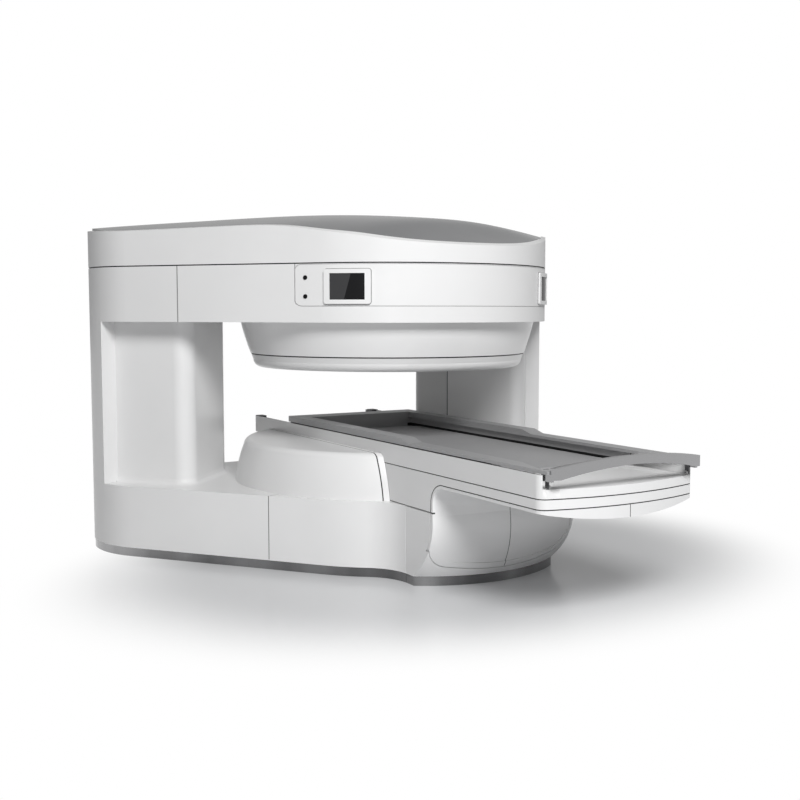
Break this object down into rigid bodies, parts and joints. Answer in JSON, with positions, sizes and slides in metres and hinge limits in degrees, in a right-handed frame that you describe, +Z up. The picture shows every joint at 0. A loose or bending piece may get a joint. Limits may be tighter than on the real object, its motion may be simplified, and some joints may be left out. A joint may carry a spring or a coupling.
{
  "type": "mri scanner",
  "caption": "Open magnetic resonance scanner with a fan-shaped two-column magnet and a fixed patient table with a sliding tray.",
  "frame": {"origin": "on the floor, in the middle of the footprint", "axes": "+Z up, the patient table runs out along -Y, +X to the right for a viewer who looks along +Y"},
  "size_m": [2.922, 2.912, 1.815],
  "materials": {
    "white_cover": "satin gloss",
    "panel_grey": "satin",
    "crown_grey": "satin",
    "pole_cap_white": "satin gloss",
    "bezel": "matt",
    "screen": "gloss",
    "button_black": "matt",
    "seal_black": "matt",
    "skirt_steel": "brushed",
    "yoke_iron": "painted",
    "pole_iron": "machined",
    "magnet_block": "plated",
    "coil_resin": "matt",
    "foot_steel": "machined",
    "cap_black": "matt",
    "frame_alloy": "satin",
    "roller_grey": "matt",
    "pulley_alloy": "machined",
    "belt_black": "matt",
    "motor_grey": "satin",
    "tray_grey": "satin",
    "mat_grey": "matt"
  },
  "bodies": {
    "scanner": {"band_front": "white_cover", "drive_belt": "belt_black", "drive_motor": "motor_grey", "guide_end_caps": "cap_black", "left_base_front": "white_cover", "left_belly_cover": "white_cover", "left_column_cover": "white_cover", "left_display_bezel": "bezel", "left_display_screen": "screen", "left_lower_pole_cover": "white_cover", "left_pole_trim": "white_cover", "left_side_cover": "white_cover", "left_yoke_column": "yoke_iron", "levelling_feet": "foot_steel", "lower_gradient_coil": "coil_resin", "lower_magnet": "magnet_block", "lower_pole_piece": "pole_iron", "lower_transmit_coil": "coil_resin", "lower_yoke": "yoke_iron", "nose_panel": "panel_grey", "rear_lower_panel": "white_cover", "rear_upper_panel": "white_cover", "right_base_front": "white_cover", "right_belly_cover": "white_cover", "right_column_cover": "white_cover", "right_display_bezel": "bezel", "right_display_screen": "screen", "right_lower_pole_cover": "white_cover", "right_pole_trim": "white_cover", "right_side_cover": "white_cover", "right_yoke_column": "yoke_iron", "skirt": "skirt_steel", "table_frame": "frame_alloy", "table_middle_cover": "white_cover", "table_upper_cover": "white_cover", "top_cover": "white_cover", "top_crown": "crown_grey", "top_seal": "seal_black", "upper_gradient_coil": "coil_resin", "upper_magnet": "magnet_block", "upper_pole_cap": "pole_cap_white", "upper_pole_piece": "pole_iron", "upper_pole_shroud": "white_cover", "upper_transmit_coil": "coil_resin", "upper_yoke": "yoke_iron"},
    "tray": {"tray_frame": "tray_grey", "tray_mat": "mat_grey", "tray_handle": "tray_grey", "handle_brackets": "cap_black", "drive_bracket": "frame_alloy"},
    "end_wheels": {"tray_end_rollers": "roller_grey"},
    "roller_near": {"support_roller_1": "roller_grey"},
    "roller_middle": {"support_roller_2": "roller_grey"},
    "roller_far": {"support_roller_3": "roller_grey"},
    "drive_wheel": {"drive_pulley": "pulley_alloy"},
    "idler_wheel": {"idler_pulley": "pulley_alloy"},
    "button_right_upper": {"right_upper_button": "button_black"},
    "button_right_lower": {"right_lower_button": "button_black"},
    "button_left_upper": {"left_upper_button": "button_black"},
    "button_left_lower": {"left_lower_button": "button_black"}
  },
  "joints": [
    {"name": "tray_slide", "type": "slide", "parent": "scanner", "child": "tray", "axis": [0, 1, 0], "range_m": [0, 0.38]},
    {"name": "roller_near_spin", "type": "hinge", "parent": "scanner", "child": "roller_near", "pos_m": [0, -0.59, 0.5707], "axis": [1, 0, 0], "range_deg": [-1200, 10]},
    {"name": "roller_middle_spin", "type": "hinge", "parent": "scanner", "child": "roller_middle", "pos_m": [0, 0.05, 0.5707], "axis": [1, 0, 0], "range_deg": [-1200, 10]},
    {"name": "roller_far_spin", "type": "hinge", "parent": "scanner", "child": "roller_far", "pos_m": [0, 0.69, 0.5707], "axis": [1, 0, 0], "range_deg": [-1200, 10]},
    {"name": "drive_wheel_spin", "type": "hinge", "parent": "scanner", "child": "drive_wheel", "pos_m": [0, -1.27, 0.5645], "axis": [1, 0, 0], "range_deg": [-2000, 10]},
    {"name": "idler_wheel_spin", "type": "hinge", "parent": "scanner", "child": "idler_wheel", "pos_m": [0, 1.35, 0.5645], "axis": [1, 0, 0], "range_deg": [-2000, 10]},
    {"name": "end_wheels_spin", "type": "hinge", "parent": "tray", "child": "end_wheels", "pos_m": [0, -1.357, 0.5973], "axis": [1, 0, 0], "range_deg": [-2600, 10]},
    {"name": "button_right_upper_press", "type": "slide", "parent": "scanner", "child": "button_right_upper", "axis": [-0.7826, 0.6225, 0], "range_m": [0, 0.002], "stiffness_N_per_m": 800, "springref_m": -0.0015},
    {"name": "button_right_lower_press", "type": "slide", "parent": "scanner", "child": "button_right_lower", "axis": [-0.7826, 0.6225, 0], "range_m": [0, 0.002], "stiffness_N_per_m": 800, "springref_m": -0.0015},
    {"name": "button_left_upper_press", "type": "slide", "parent": "scanner", "child": "button_left_upper", "axis": [0.7826, 0.6225, 0], "range_m": [0, 0.002], "stiffness_N_per_m": 800, "springref_m": -0.0015},
    {"name": "button_left_lower_press", "type": "slide", "parent": "scanner", "child": "button_left_lower", "axis": [0.7826, 0.6225, 0], "range_m": [0, 0.002], "stiffness_N_per_m": 800, "springref_m": -0.0015}
  ],
  "couplings": [
    {"joint": "roller_near_spin", "follows": "tray_slide", "rad_per_m": -50},
    {"joint": "roller_middle_spin", "follows": "tray_slide", "rad_per_m": -50},
    {"joint": "roller_far_spin", "follows": "tray_slide", "rad_per_m": -50},
    {"joint": "drive_wheel_spin", "follows": "tray_slide", "rad_per_m": -83.68},
    {"joint": "idler_wheel_spin", "follows": "tray_slide", "rad_per_m": -83.68},
    {"joint": "end_wheels_spin", "follows": "tray_slide", "rad_per_m": -111.11}
  ]
}
